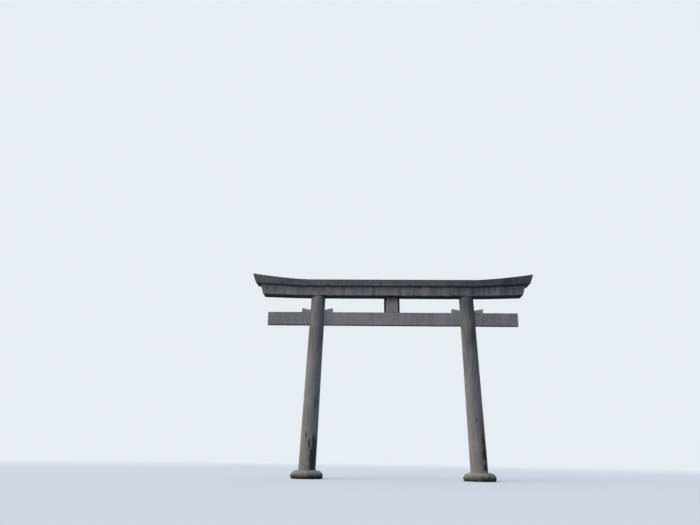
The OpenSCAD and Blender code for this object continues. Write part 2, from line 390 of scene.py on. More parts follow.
def marked(f, body, colour, mottle, thin):
    """What is painted on the mesh. Gives the colour, and the ragged noise of the lichen."""
    # Soot and painted shade that are painted on the mesh.
    grime_and_shade = f.product(f.painted("grime_and_shade"), f.mask(thin, 0.36, 0.60, 0.62, 1.0), clamp=True)
    body = f.mix(grime_and_shade, body, SOOT_AND_SHADE)
    rust = f.product(f.painted("rust"), f.mask(thin, 0.35, 0.65, 0.3, 1.0), clamp=True)
    body = f.mix(rust, body, RUST)
    ragged = f.sum("ADD", f.cloud(f.stretched(11.0, 11.0, 2.2), 1.0, 8.0, 0.74, 0.2), f.painted("lichen"))
    body = f.mix(f.mask(ragged, 0.74, 1.00, 0.0, 0.50), body, LICHEN)
    fine = f.mask(f.cloud(f.stretched(34.0, 34.0, 14.0), 1.0, 4.0, 0.7), 0.36, 0.56, 0.35, 1.0)
    body = f.mix(f.product(f.mask(ragged, 0.90, 1.06, 0.0, 0.85), fine), body, LICHEN)
    worn = f.product(f.painted("arris"), f.mask(mottle, 0.2, 0.8, 0.05, 0.3))
    return f.mix(worn, body, shaded(colour, 1.35)), ragged


# %% [markdown]
# Last come the pinholes that air bubbles left and a few hair cracks, both in the colour and in the relief.
# The four concretes of the gate differ only in their grey, in how dark and how wide the runs are, and in the
# soot and painted shade near the top.

# %% Concrete finish
PINHOLE = 0.0035
CRACK = 0.0015


def concrete(name, colour, runs, run_width, soot_and_shade_top=None):
    """Concrete of one colour. runs is how dark the rain runs are and run_width their width in metres.
    soot_and_shade_top has the heights where the soot and painted shade start and are full, its strength and
    how far its edge wavers."""
    f = Finish(name, roughness=0.93, gloss=0.15)
    body, mottle, grain = cast_grey(f, colour)
    body, thin = rained_on(f, body, colour, runs, run_width, soot_and_shade_top)
    body, ragged = marked(f, body, colour, mottle, thin)

    hole = f.mask(f.cells(f.place, 9.0), 0.035, 0.055)
    crack_net = f.warped(f.stretched(0.9, 0.9, 0.6), 2.2, 0.55)
    crack = f.mask(f.cells(crack_net, 1.0, "DISTANCE_TO_EDGE"), 0.0, 0.004, 1.0, 0.0)
    crack = f.product(crack, f.mask(f.cloud(f.place, 0.6, 2.0), 0.58, 0.64))
    body = f.mix(f.mask(hole, 0.0, 1.0, 0.7, 0.0), body, shaded(SOOT_AND_SHADE, 0.7))
    body = f.mix(f.product(crack, 0.5), body, SOOT_AND_SHADE)

    f.relief(f.cloud(f.place, 2.0, 5.0, 0.6), 0.012, 0.5)
    f.relief(grain, 0.0012, 0.6)
    f.relief(hole, PINHOLE)
    f.relief(crack, -CRACK)
    f.relief(f.mask(ragged, 0.90, 1.06), 0.002, 0.7)
    return f.done(body)


finishes = {
    name: concrete(name, *recipe)
    for name, recipe in {
        # The last value of a recipe, where there is one, sets the soot and painted shade near the top.
        "pillar_concrete": (tone(113, 112, 110), 0.34, 0.15, (6.0, 12.0, 0.20, 1.2)),
        "beam_concrete": (tone(116, 116, 117), 0.22, 0.30),
        "lintel_concrete": (tone(109, 107, 108), 0.60, 0.16, (13.05, 13.85, 0.40, 0.2)),
        "lintel_concrete_dark": (tone(83, 82, 85), 0.46, 0.14),
    }.items()
}

# %% [markdown]
# ## The stone, the lacquered wood and the iron
# The cushion stones are natural stone: browner, coarser, mossy round the edge, and dark at the ground, partly
# with mud and partly with painted shade under the belly. Painted shade also darkens the middle of each
# stone's front. The plaque is black lacquered timber whose lacquer has gone thin along the grain. Its ledge
# and brackets are iron with rust that has eaten through an old coat of black.

# %% Stone, wood and iron finishes


def dressed_stone(name):
    f = Finish(name, roughness=0.95, gloss=0.12)
    colour = tone(122, 124, 125)
    grain = f.cloud(f.place, 60.0, 4.0, 0.75)
    wavy = f.sum("ADD", f.height(), f.mask(f.cloud(f.place, 3.0, 5.0, 0.65), 0.3, 0.7, -0.10, 0.10))
    body = f.mix(f.mask(wavy, 0.22, 0.46), tone(92, 84, 74), colour)
    cloudy = f.mask(f.cloud(f.place, 2.2, 6.0, 0.65), 0.35, 0.65)
    body = f.mix(cloudy, f.tinted(body, (0.78, 0.77, 0.75)), body)
    body = f.mix(f.mask(grain, 0.3, 0.7), f.tinted(body, (0.80, 0.80, 0.79)), body)
    pits = f.mask(f.cells(f.place, 34.0), 0.10, 0.22)
    body = f.mix(f.mask(pits, 0.0, 1.0, 0.55, 0.0), body, SOOT_AND_SHADE)
    # Below the belly the stone turns dark: mud at the ground and painted shade under the belly.
    body = f.mix(f.mask(wavy, 0.10, 0.26, 0.92, 0.0), body, tone(42, 38, 31))
    mossy = f.mask(f.cloud(f.place, 2.6, 6.0, 0.7), 0.56, 0.66)
    moss = f.mix(f.mask(grain, 0.4, 0.6), shaded(MOSS, 0.6), MOSS)
    body = f.mix(f.product(mossy, f.mask(wavy, 0.10, 0.45, 0.8, 0.15)), body, moss)
    body = f.mix(f.mask(f.cloud(f.place, 6.0, 5.0, 0.7), 0.62, 0.70, 0.0, 0.5), body, tone(66, 64, 60))
    # The spot painted on the front is painted shade.
    grime_and_shade = f.product(f.painted("grime_and_shade"), f.mask(cloudy, 0.0, 1.0, 1.0, 0.7))
    body = f.mix(grime_and_shade, body, tone(48, 45, 40))
    f.relief(f.cloud(f.place, 11.0, 6.0, 0.65), 0.014, 0.7)
    f.relief(pits, 0.004, 0.8)
    f.relief(grain, 0.002, 0.7)
    return f.done(body)


def black_lacquer(name):
    f = Finish(name, roughness=0.55, gloss=0.35)
    fibre = f.cloud(f.stretched(55.0, 20.0, 2.2), 1.0, 5.0, 0.65, 0.6)
    body = f.mix(f.mask(f.cloud(f.place, 5.0, 5.0), 0.35, 0.65), tone(30, 31, 36), tone(42, 44, 50))
    bare = f.product(f.mask(fibre, 0.52, 0.66), f.mask(f.cloud(f.place, 2.4, 5.0, 0.6), 0.44, 0.62))
    body = f.mix(f.product(bare, 0.8), body, tone(96, 84, 72))
    body = f.mix(f.product(f.painted("arris"), 0.35), body, tone(92, 80, 68))
    dust = f.mask(f.upwards(), 0.3, 0.9, 0.0, 0.45)
    body = f.mix(dust, body, tone(104, 101, 95))
    f.relief(fibre, 0.0016, 0.8)
    f.relief(bare, -0.0008)
    return f.done(body)


def rusty_iron(name):
    f = Finish(name, roughness=0.78, gloss=0.3)
    patch = f.mask(f.cloud(f.place, 11.0, 6.0, 0.7), 0.42, 0.58)
    fine = f.cloud(f.place, 120.0, 3.0, 0.7)
    body = f.mix(f.mask(fine, 0.35, 0.65), tone(84, 52, 36), tone(118, 76, 50))
    body = f.mix(patch, tone(40, 39, 40), body)
    f.relief(f.cloud(f.place, 45.0, 5.0, 0.7), 0.002, 0.8)
    f.relief(patch, 0.001, 0.6)
    return f.done(body)


finishes["base_stone"] = dressed_stone("base_stone")
finishes["black_wood"] = black_lacquer("black_wood")
finishes["old_iron"] = rusty_iron("old_iron")

# %% [markdown]
# ## Lofting a shape
# Nearly every piece of the gate is a row of rings with skin between them: a beam is a rounded
# rectangle carried along a line, a pillar is a circle carried up a leaning axis. One function takes
# the rings and makes a closed mesh, and each end is closed with smaller and smaller rings, so that its
# face has points that wear can move. A second value for each point says whether it lies on an arris,
# which is a mason's word for the edge where two faces meet.

# %% Loft
CAP_SHARES = (0.8, 0.55, 0.3)
SHARP_ANGLE = math.radians(38)


def new_piece(name, points, faces, arris=None):
    """A mesh object with its faces pointing outwards, smooth except at sharp edges."""
    mesh = bpy.data.meshes.new(name)
    mesh.from_pydata([tuple(p) for p in points], [], faces)
    shell = bmesh.new()
    shell.from_mesh(mesh)
    bmesh.ops.recalc_face_normals(shell, faces=shell.faces)
    shell.to_mesh(mesh)
    shell.free()
    if arris is not None:
        layer = mesh.attributes.new("arris", "FLOAT", "POINT")
        layer.data.foreach_set("value", np.asarray(arris, np.float32))
    smooth(mesh)
    return linked(name, mesh)


def smooth(mesh):
    mesh.polygons.foreach_set("use_smooth", [True] * len(mesh.polygons))
    mesh.set_sharp_from_angle(angle=SHARP_ANGLE)
    mesh.update()


def loft(name, rings, flags):
    """Skin over rings of points. flags has the arris value of each point of each ring."""
    first, last = rings[0].mean(0), rings[-1].mean(0)
    before = [first + (rings[0] - first) * share for share in reversed(CAP_SHARES)]
    after = [last + (rings[-1] - last) * share for share in CAP_SHARES]
    flat = [np.zeros(len(rings[0]))] * len(CAP_SHARES)
    points = np.concatenate([*before, *rings, *after, [first, last]])
    arris = np.concatenate([*flat, *flags, *flat, [0, 0]])
    count = len(rings[0])
    total = len(rings) + 2 * len(CAP_SHARES)
    centre_first, centre_last = len(points) - 2, len(points) - 1
    top = (total - 1) * count
    around = [(j, (j + 1) % count) for j in range(count)]
    faces = [
        (i * count + j, i * count + k, (i + 1) * count + k, (i + 1) * count + j)
        for i in range(total - 1)
        for j, k in around
    ]
    for j, k in around:
        faces += [(centre_first, k, j), (centre_last, top + j, top + k)]
    return new_piece(name, points, faces, arris)


print("each end of a loft is closed with", len(CAP_SHARES), "smaller rings and a middle point")

# %% [markdown]
# ## Bars with rounded edges
# A cast beam comes out of its mould with edges that are never razor sharp, and weather rounds them
# more. The section of a beam is given by its corners alone. The function below rounds every corner
# with a short arc, puts a point close to each side of the arc so that the flat faces shade flat, and
# spreads more points over the flats. At its ends the section shrinks along a quarter circle, which
# rounds the edges there in the same way.

# %% Rounded bars
ARC_STEPS = 4
SUPPORT = 0.012
LEAST_RADIUS = 0.15


def turned(vector, angle):
    return Vector((
        vector.x * math.cos(angle) - vector.y * math.sin(angle),
        vector.x * math.sin(angle) + vector.y * math.cos(angle),
    ))


def inset(corners, depth):
    """The same outline, anticlockwise, with every side moved inwards by depth."""
    sides = []
    for here, ahead in zip(corners, corners[1:] + corners[:1]):
        along = (ahead - here).normalized()
        sides.append((here + Vector((-along.y, along.x)) * depth, along))
    moved = []
    for (p, d), (q, e) in zip(sides[-1:] + sides[:-1], sides):
        moved.append(p + d * ((q - p).cross(e) / d.cross(e)))
    return moved


def spread_along(length, spacing):
    """Shares of a side where its points lie: close to both ends, and evenly between."""
    near = min(SUPPORT, length / 4) / length
    steps = max(1, round(length * (1 - 2 * near) / spacing))
    return [near + (1 - 2 * near) * i / steps for i in range(steps + 1)]


def rounded(corners, radius, shares):
    """Points round an outline with its corners rounded, and for each its arris value."""
    points, arris = [], []
    count = len(corners)
    arcs = []
    for i in range(count):
        here = corners[i]
        back = (corners[i - 1] - here).normalized()
        ahead = (corners[(i + 1) % count] - here).normalized()
        half = back.angle(ahead) / 2
        reach = radius / math.tan(half)
        middle = here + (back + ahead).normalized() * radius / math.sin(half)
        spoke = here + back * reach - middle
        sweep = math.pi - 2 * half
        arcs.append([middle + turned(spoke, sweep * k / ARC_STEPS) for k in range(ARC_STEPS + 1)])
    for i in range(count):
        points += arcs[i]
        arris += [0.5] + [1.0] * (ARC_STEPS - 1) + [0.5]
        start, end = arcs[i][-1], arcs[(i + 1) % count][0]
        points += [start.lerp(end, share) for share in shares[i]]
        arris += [0.0] * len(shares[i])
    return np.array([tuple(p) for p in points]), np.array(arris)


def quarter_turn(steps):
    return [math.pi / 2 * k / steps for k in range(steps + 1)]


def bar(name, corners, start, end, radius, spacing, end_radii=None):
    """A bar along X from start to end, with a section of these corners in Y and Z."""
    first, last = end_radii or (radius, radius)
    corners = [Vector(c) for c in corners]
    ahead = corners[1:] + corners[:1]
    shares = [spread_along((after - here).length, spacing) for here, after in zip(corners, ahead)]
    turn = quarter_turn(ARC_STEPS)
    places = [(start + first * (1 - math.sin(a)), first * (1 - math.cos(a)), 1.0) for a in reversed(turn)]
    inner_start, inner_end = start + first, end - last
    places += [
        (inner_start + (inner_end - inner_start) * share, 0.0, 0.0)
        for share in spread_along(inner_end - inner_start, spacing)
    ]
    places += [(end - last * (1 - math.sin(a)), last * (1 - math.cos(a)), 1.0) for a in turn]
    rings, flags = [], []
    for x, depth, at_end in places:
        ring, arris = rounded(inset(corners, depth), max(radius - depth, radius * LEAST_RADIUS), shares)
        rings.append(np.column_stack([np.full(len(ring), x), ring]))
        flags.append(np.maximum(arris, at_end))
    return loft(name, rings, flags)


def rectangle(low, high):
    return [(low[0], low[1]), (high[0], low[1]), (high[0], high[1]), (low[0], high[1])]


def upright_bar(name, low, high, radius, spacing, end_radii=None):
    """A bar with its length along Z, given by its lowest and highest corners."""
    corners = rectangle((low[1], -high[0]), (high[1], -low[0]))
    piece = bar(name, corners, low[2], high[2], radius, spacing, end_radii)
    piece.data.transform(Matrix.Rotation(-math.pi / 2, 4, "Y"))
    return piece


print("each rounded corner has", ARC_STEPS + 1, "points")

# %% [markdown]
# ## Wear
# Concrete cast against boards is slightly wavy, and knocks and frost have bitten pieces out of its
# edges. This moves every point a few millimetres along its normal by a slow noise, and pushes the
# arris points in where a second noise passes a threshold. The noise is read at the point's own place,
# so the result is the same on every run.

# %% Wear
WAVE_SCALE = 0.8
RIPPLE_SCALE = 6.0
RIPPLE_SHARE = 0.4
CHIP_SCALE = 3.4
CHIP_LEVEL = 0.22
CHIP_GROWTH = 3
SEED_STEP = (17.3, 5.1, 9.7)


def points_of(piece):
    co = np.empty(len(piece.data.vertices) * 3)
    piece.data.vertices.foreach_get("co", co)
    return co.reshape(-1, 3)


def set_points(piece, points):
    piece.data.vertices.foreach_set("co", points.ravel())
    piece.data.update()


def wear(piece, seed, wave, chip, ripple=None):
    mesh = piece.data
    points = points_of(piece)
    normals = np.array([tuple(v.vector) for v in mesh.vertex_normals])
    arris = np.zeros(len(points))
    if "arris" in mesh.attributes:
        mesh.attributes["arris"].data.foreach_get("value", arris)
    ripple = wave * RIPPLE_SHARE if ripple is None else ripple
    shift = Vector([seed * step for step in SEED_STEP])
    moves = np.empty(len(points))
    for i, point in enumerate(points):
        place = Vector(point) + shift
        move = noise.noise(place * WAVE_SCALE) * wave + noise.noise(place * RIPPLE_SCALE) * ripple
        if arris[i]:
            bite = noise.noise(place * CHIP_SCALE) + 0.5 * noise.noise(place * CHIP_SCALE * 3)
            move -= arris[i] * chip * min(1.0, max(0.0, bite - CHIP_LEVEL) * CHIP_GROWTH)
        moves[i] = move
    set_points(piece, points + normals * moves[:, None])


def paint(piece, name, spots, under=0.0):
    """Paints soft round spots on the points: each has its centre, its reach each way and its strength."""
    points = points_of(piece)
    values = np.zeros(len(points)) + under
    for centre, reach, strength in spots:
        away = (((points - np.array(centre)) / np.array(reach)) ** 2).sum(1)
        values += strength * np.exp(-away)
    layer = piece.data.attributes.get(name) or piece.data.attributes.new(name, "FLOAT", "POINT")
    layer.data.foreach_set("value", np.clip(values, 0, 1).astype(np.float32))


def settle(piece, slot, *replaced):
    """Gives a finished piece its finish and its place in the frame, instead of the nodes replaced."""
    piece.data.materials.clear()
    piece.data.materials.append(finishes[slot])
    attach(piece, "root")
    if replaced:
        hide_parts(*replaced)
    print(piece.name, "has", len(piece.data.polygons), "faces")


print("full chips start where the noise reaches", round(CHIP_LEVEL + 1 / CHIP_GROWTH, 2))

# %% [markdown]
# ## The base stones
# Each pillar stands on a flattened round stone, called a turtle's belly for its swelling side. Its
# outline is two quarter ellipses that meet at the belly, spun round the pillar's foot. A stone like
# this is cut by hand, so it gets more ripple than the cast concrete.

# %% Base stones
STONE_SIDES = 180
STONE_STEPS = 14
STONE_TOP_R = 0.635
STONE_UNDER_R = 1.03
STONE_BELLY_Z = 0.20
STONE_SEEDS = {"left": 11, "right": 12}
# The painted shade on the middle of each stone's front: its reach each way and its strength.
STONE_SHADE_REACH = (0.75, 0.6, 0.5)
STONE_SHADE = 0.34


def round_piece(name, sides, levels):
    """A round piece. levels has the middle along X, the radius and the height of each ring."""
    around = np.linspace(0, 2 * math.pi, sides, endpoint=False)
    rings = [
        np.column_stack([x + r * np.cos(around), r * np.sin(around), np.full(sides, z)])
        for x, r, z in levels
    ]
    return loft(name, rings, [np.zeros(sides)] * len(rings))


def keep_between(piece, low, high):
    """Puts the points that wear has moved past the flat ends back on them."""
    points = points_of(piece)
    points[:, 2] = np.clip(points[:, 2], low, high)
    set_points(piece, points)


def base_stone(side):
    low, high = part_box(f"base_stone_{side}")
    centre_x = (low.x + high.x) / 2
    belly_r = (high.x - low.x) / 2
    under, over = belly_r - STONE_UNDER_R, belly_r - STONE_TOP_R
    turn, rise = quarter_turn(STONE_STEPS), high.z - STONE_BELLY_Z
    below = [(STONE_UNDER_R + under * math.sin(a), STONE_BELLY_Z * (1 - math.cos(a))) for a in turn]
    above = [(STONE_TOP_R + over * math.cos(a), STONE_BELLY_Z + rise * math.sin(a)) for a in turn[1:]]
    piece = round_piece(f"cushion_stone_{side}", STONE_SIDES, [(centre_x, r, z) for r, z in below + above])
    wear(piece, STONE_SEEDS[side], wave=0.012, chip=0, ripple=0.010)
    keep_between(piece, 0, high.z)
    # Painted shade on the middle of the front.
    paint(piece, "grime_and_shade", [((centre_x + 0.15, -belly_r, 0.30), STONE_SHADE_REACH, STONE_SHADE)])
    settle(piece, "base_stone", f"base_stone_{side}")


for side in ("left", "right"):
    base_stone(side)

# %% [markdown]
# ## The pillars
# A pillar is a very slim cone whose axis leans in towards the top. Level rings are stacked up that
# axis, each with the radius that the cone has there. The hole for the tie beam and its wedges is cut
# with a Boolean modifier, a little wider than the beam, and the line of shadow round the beam is that
# gap.

# %% Pillar sizes
SPACING = 12.0
FOOT_D = 1.22
HEAD_D = 1.044
LEAN_IN = 0.495
MORTISE_GAP = 0.002
PILLAR_SIDES = 120
RING_SPACING = 0.09

tie_low, tie_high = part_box("tie_beam_middle")
lintel_low, lintel_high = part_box("lower_lintel_middle")
head_z = lintel_low.z
foot_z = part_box("base_stone_left")[1].z
wedge_low, wedge_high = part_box("wedge_right_outer")
WEDGE_SLOPE = math.radians(11.5)
wedge_tall = wedge_high.z - wedge_low.z
wedge_reach = wedge_high.x - wedge_low.x
wedge_thin = wedge_tall - wedge_reach * math.tan(WEDGE_SLOPE)


def axis_x(z):
    """Distance of a pillar's axis from the middle of the gate at the height z."""
    return SPACING / 2 - LEAN_IN * z / head_z


def pillar_radius(z):
    return (FOOT_D + (HEAD_D - FOOT_D) * z / head_z) / 2


def on_pillar(way, z, degrees):
    """A place on a pillar's skin. Degrees turn from the front towards +X."""
    angle = math.radians(degrees)
    r = pillar_radius(z)
    return (way * axis_x(z) + r * math.sin(angle), -r * math.cos(angle), z)


print("a pillar leans", round(math.degrees(math.atan(LEAN_IN / head_z)), 2), "degrees")

# %% [markdown]
# The marks on the pillars are placed one by one. The left one has black lichen down its right half, thick at
# the foot. The right one has a dark band low on its right side and one curved scar. Each mark is its height,
# its side in degrees, its half width, its half height and its strength.

# %% Pillar marks
# On the left pillar, the dark marks at 68 and 72 degrees near the head are painted shade down its right side,
# under the tie beam and the lintel.
LEFT_MARKS = {
    "lichen": [
        (0.8, 40, 0.36, 0.60, 0.56), (1.5, 44, 0.26, 0.60, 0.46), (2.1, 56, 0.24, 0.60, 0.44),
        (2.7, 32, 0.07, 0.32, 0.60), (2.7, 58, 0.16, 0.60, 0.26), (3.7, 52, 0.16, 0.90, 0.26),
        (2.98, -18, 0.075, 0.36, 0.72), (2.35, 8, 0.075, 0.38, 0.80), (1.6, 24, 0.07, 0.50, 0.40),
        (5.1, 31, 0.06, 0.80, 0.56), (4.3, 10, 0.08, 0.70, 0.22), (6.4, 30, 0.10, 0.90, 0.26),
        (8.8, 20, 0.20, 1.20, 0.12),
    ],
    "grime_and_shade": [
        (1.2, -50, 0.70, 1.60, 0.12), (6.2, -60, 0.50, 1.30, 0.18), (9.8, 30, 0.50, 0.90, 0.10),
        (9.8, -15, 0.30, 0.80, 0.12), (10.2, -60, 0.30, 0.60, 0.16), (12.4, 72, 0.18, 0.80, 0.36),
        (9.8, 68, 0.20, 0.90, 0.34),
    ],
    "rust": [(1.3, -40, 0.90, 1.20, 0.22)],
}
SCAR_STEPS = 5
SCAR = [
    (4.1 + 0.45 * (k / SCAR_STEPS - 0.5), -6 + 7 * math.sin(math.pi * k / SCAR_STEPS), 0.040, 0.07, 0.56)
    for k in range(SCAR_STEPS + 1)
]
# On the right pillar, the dark marks at 70 degrees near the head are painted shade down its right side, where
# the tie beam and the lintel meet it, and the lichen spot at 10.6 m there is partly painted shade.
RIGHT_MARKS = {
    "lichen": [
        (0.88, 36, 0.17, 0.22, 0.66), (1.76, 36, 0.19, 0.46, 0.60), (1.5, 58, 0.20, 0.80, 0.36),
        (2.6, 52, 0.16, 0.60, 0.30), (2.8, 33, 0.07, 0.36, 0.56), (3.5, 36, 0.06, 0.50, 0.46),
        (5.6, 60, 0.12, 1.20, 0.16), (10.6, 62, 0.16, 0.50, 0.34), (7.2, 6, 0.06, 0.20, 0.26), *SCAR,
    ],
    "grime_and_shade": [
        (2.4, 44, 0.28, 1.90, 0.50), (1.2, -50, 0.70, 0.90, 0.08), (6.2, -5, 0.35, 0.90, 0.36),
        (7.9, 18, 0.28, 1.10, 0.46), (7.9, -60, 0.30, 1.00, 0.16), (9.9, -5, 0.80, 1.10, 0.44),
        (9.8, 25, 0.30, 1.00, 0.22), (12.4, -15, 0.80, 1.00, 0.58), (12.4, 24, 0.25, 0.90, 0.20),
        (11.9, 70, 0.20, 1.30, 0.55), (10.4, 70, 0.16, 0.60, 0.40),
    ],
    "rust": [(3.4, 40, 0.10, 0.80, 0.60), (2.4, 30, 0.20, 0.80, 0.26), (1.0, -40, 0.80, 0.90, 0.16)],
}
MARK_DEPTH = 0.4

for side, marks in (("left", LEFT_MARKS), ("right", RIGHT_MARKS)):
    print("the", side, "pillar has", sum(map(len, marks.values())), "marks")

# %% [markdown]
# Each pillar is stacked and worn, then cut and painted. The hole is cut after the wear, so that its
# edges stay crisp, and the marks come last, because the cut gives the pillar a new mesh.

# %% Pillars
def pillar(side, way, marks):
    heights = np.linspace(foot_z, head_z, round((head_z - foot_z) / RING_SPACING) + 1)
    levels = [(way * axis_x(z), pillar_radius(z), z) for z in heights]
    piece = round_piece(f"leaning_pillar_{side}", PILLAR_SIDES, levels)
    wear(piece, seed=21 if way < 0 else 22, wave=0.003, chip=0, ripple=0.0012)
    keep_between(piece, foot_z, head_z)
    cut_mortise(piece, way)
    for kind, places in marks.items():
        paint(piece, kind, [
            (on_pillar(way, z, degrees), (wide, MARK_DEPTH, tall), strength)
            for z, degrees, wide, tall, strength in places
        ])
    settle(piece, "pillar_concrete", f"pillar_{side}")


def cut_mortise(piece, way):
    """Cuts the hole for the tie beam, with a roof that slopes like the wedges on both sides."""
    half = (tie_high.y - tie_low.y) / 2 + MORTISE_GAP
    reach = FOOT_D
    middle = way * axis_x(tie_high.z)
    roof = tie_high.z + wedge_thin
    eaves = roof + reach * math.tan(WEDGE_SLOPE)
    outline = [
        (middle - reach, tie_low.z), (middle + reach, tie_low.z),
        (middle + reach, eaves), (middle, roof), (middle - reach, eaves),
    ]
    count = len(outline)
    points = [(x, y, z) for y in (-half, half) for x, z in outline]
    sides = [(j, (j + 1) % count, count + (j + 1) % count, count + j) for j in range(count)]
    ends = [tuple(range(count)), tuple(range(2 * count - 1, count - 1, -1))]
    cutter = new_piece("mortise_cutter", points, sides + ends)
    cut = piece.modifiers.new("mortise", "BOOLEAN")
    cut.operation = "DIFFERENCE"
    cut.solver = "EXACT"
    cut.object = cutter
    bake_modifiers(piece)
    bpy.data.objects.remove(cutter)


def bake_modifiers(piece):
    """Turns what the modifiers make into the piece's own mesh."""
    graph = bpy.context.evaluated_depsgraph_get()
    mesh = bpy.data.meshes.new_from_object(piece.evaluated_get(graph))
    piece.modifiers.clear()
    piece.data = mesh
    smooth(mesh)


pillar("left", -1, LEFT_MARKS)
pillar("right", 1, RIGHT_MARKS)

# %% [markdown]
# ## The tie beam and its wedges
# The tie beam runs through both pillars in three lengths that meet inside them. On top of it, at each side of
# each pillar, a wedge is driven in to hold it. A wedge starts as a plain bar, and its top is then pulled down
# towards the pillar. The strut stands in the middle and is darkest at its head, with painted shade under the
# lower lintel.

# %% Tie beam, wedges and strut
BEAM_EDGE = 0.022
JOINT_EDGE = 0.004
BEAM_SPACING = 0.07
WEDGE_EDGE = 0.014
WEDGE_PALE = 0.34
STRUT_SHADE = [((0, 0, lintel_low.z), (9, 9, 0.34), 0.90)]
FRONT, BACK = tie_low.y, tie_high.y


def on_front(y, deep, marks):
    """Spots on a flat front: each mark is its x and z, its half width, its half height and its strength."""
    return [((x, y, z), (wide, deep, tall), strength) for x, z, wide, tall, strength in marks]


BEAM_GRIME = on_front(FRONT, 0.15, [
    (0.9, 11.3, 0.10, 0.9, 0.10), (2.8, 11.3, 0.22, 0.9, 0.12), (4.1, 11.3, 0.12, 0.9, 0.10),
    (6.7, 11.2, 0.30, 0.7, 0.22), (7.5, 11.4, 0.50, 0.7, 0.42), (8.6, 11.4, 0.60, 0.9, 0.16),
    (-8.8, 11.0, 0.50, 0.3, 0.24), (-7.7, 10.9, 0.50, 0.3, 0.14),
])
BEAM_PALE = on_front(FRONT, 0.15, [(-2.0, 11.3, 1.0, 0.9, 0.14)])
BEAM_RUST = on_front(FRONT, 0.2, [(-7.7, 11.6, 0.25, 0.30, 0.30), (-6.6, 11.7, 0.20, 0.25, 0.20)])
BEAM_RUST += on_front(BACK, 0.1, [
    (-0.33, 11.1, 0.07, 0.42, 0.8), (0.36, 11.15, 0.06, 0.36, 0.8), (0.0, 11.3, 0.50, 0.16, 0.4),
])


def radii_by_length(edge):
    """The radii of both ends of the left, middle and right lengths: a joint is sharper than a free end."""
    return {"left": (edge, JOINT_EDGE), "middle": (JOINT_EDGE, JOINT_EDGE), "right": (JOINT_EDGE, edge)}


def tie_beam(name, end_radii):
    low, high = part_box(name)
    corners = rectangle((low.y, low.z), (high.y, high.z))
    piece = bar(f"cast_{name}", corners, low.x, high.x, BEAM_EDGE, BEAM_SPACING, end_radii)
    wear(piece, seed=31, wave=0.004, chip=0.012)
    paint(piece, "grime_and_shade", BEAM_GRIME)
    paint(piece, "rust", BEAM_RUST)
    paint(piece, "pale", BEAM_PALE)
    settle(piece, "beam_concrete", name)


def wedge(side, way, place):
    """A wedge whose thick end is at the far end from the pillar's axis. way is 1 for an end towards +X."""
    name = f"wedge_{side}_{place}"
    low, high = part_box(name)
    corners = rectangle((low.y, low.z), (high.y, high.z))
    piece = bar(f"driven_{name}", corners, low.x, high.x, WEDGE_EDGE, BEAM_SPACING)
    points = points_of(piece)
    thin_x = low.x if way > 0 else high.x
    tall = wedge_thin + np.abs(points[:, 0] - thin_x) * math.tan(WEDGE_SLOPE)
    points[:, 2] = low.z + (points[:, 2] - low.z) * tall / wedge_tall
    set_points(piece, points)
    wear(piece, seed=41 + way, wave=0.003, chip=0.010)
    paint(piece, "pale", [], WEDGE_PALE)
    settle(piece, "beam_concrete", name)


def strut():
    low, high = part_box("centre_strut")
    piece = upright_bar("standing_strut", low, high, BEAM_EDGE, BEAM_SPACING, (JOINT_EDGE, JOINT_EDGE))
    wear(piece, seed=45, wave=0.003, chip=0.012)
    paint(piece, "grime_and_shade", STRUT_SHADE)
    settle(piece, "beam_concrete", "centre_strut")


for place, radii in radii_by_length(BEAM_EDGE).items():
    tie_beam(f"tie_beam_{place}", radii)
wedge("left", -1, "outer")
wedge("left", 1, "inner")
wedge("right", -1, "inner")
wedge("right", 1, "outer")
strut()

# %% [markdown]
# ## Lintels that sweep up
# Both lintels are straight between the pillars and curve up outside them, and their ends lean out.
# That is a rule, so Geometry Nodes apply it, and the bolts will use the same three helpers: one starts
# a tree and names its inputs, one ends it, and one runs it on a piece.

# %% Helpers for Geometry Nodes
def new_rule(name, numbers, seed=False):
    """An empty Geometry Nodes tree that takes a geometry, these numbers, perhaps a seed, and a finish."""
    tree = bpy.data.node_groups.new(name, "GeometryNodeTree")
    inputs = [("Geometry", "Geometry"), *((label, "Float") for label in numbers)]
    for label, kind in inputs + [("Seed", "Int")] * seed + [("Finish", "Material")]:
        tree.interface.new_socket(label, in_out="INPUT", socket_type=f"NodeSocket{kind}")
    tree.interface.new_socket("Geometry", in_out="OUTPUT", socket_type="NodeSocketGeometry")
    return tree, tree.nodes.new("NodeGroupInput").outputs


def end_rule(tree, geometry, finish):
    real = add_node(tree, "GeometryNodeRealizeInstances", (geometry,))[0]
    dressed = add_node(tree, "GeometryNodeSetMaterial", {"Geometry": real, "Material": finish})[0]
    add_node(tree, "NodeGroupOutput", (dressed,))


def apply_rule(piece, tree, values):
    """Runs a tree on a piece, with its inputs set by their identifiers, and keeps the mesh that comes out."""
    modifier = piece.modifiers.new(tree.name, "NODES")
    modifier.node_group = tree
    for item in tree.interface.items_tree:
        if item.in_out == "INPUT" and item.name in values:
            modifier[item.identifier] = values[item.name]
    bake_modifiers(piece)


# %% [markdown]
# A straight bar goes in. Past the place where the sweep starts, each point is lifted by a power of its
# share of the way to the tip: by one rise at the underside and by another at the top edge. Then it is
# pushed out by its share of the height there, which tips the end over.

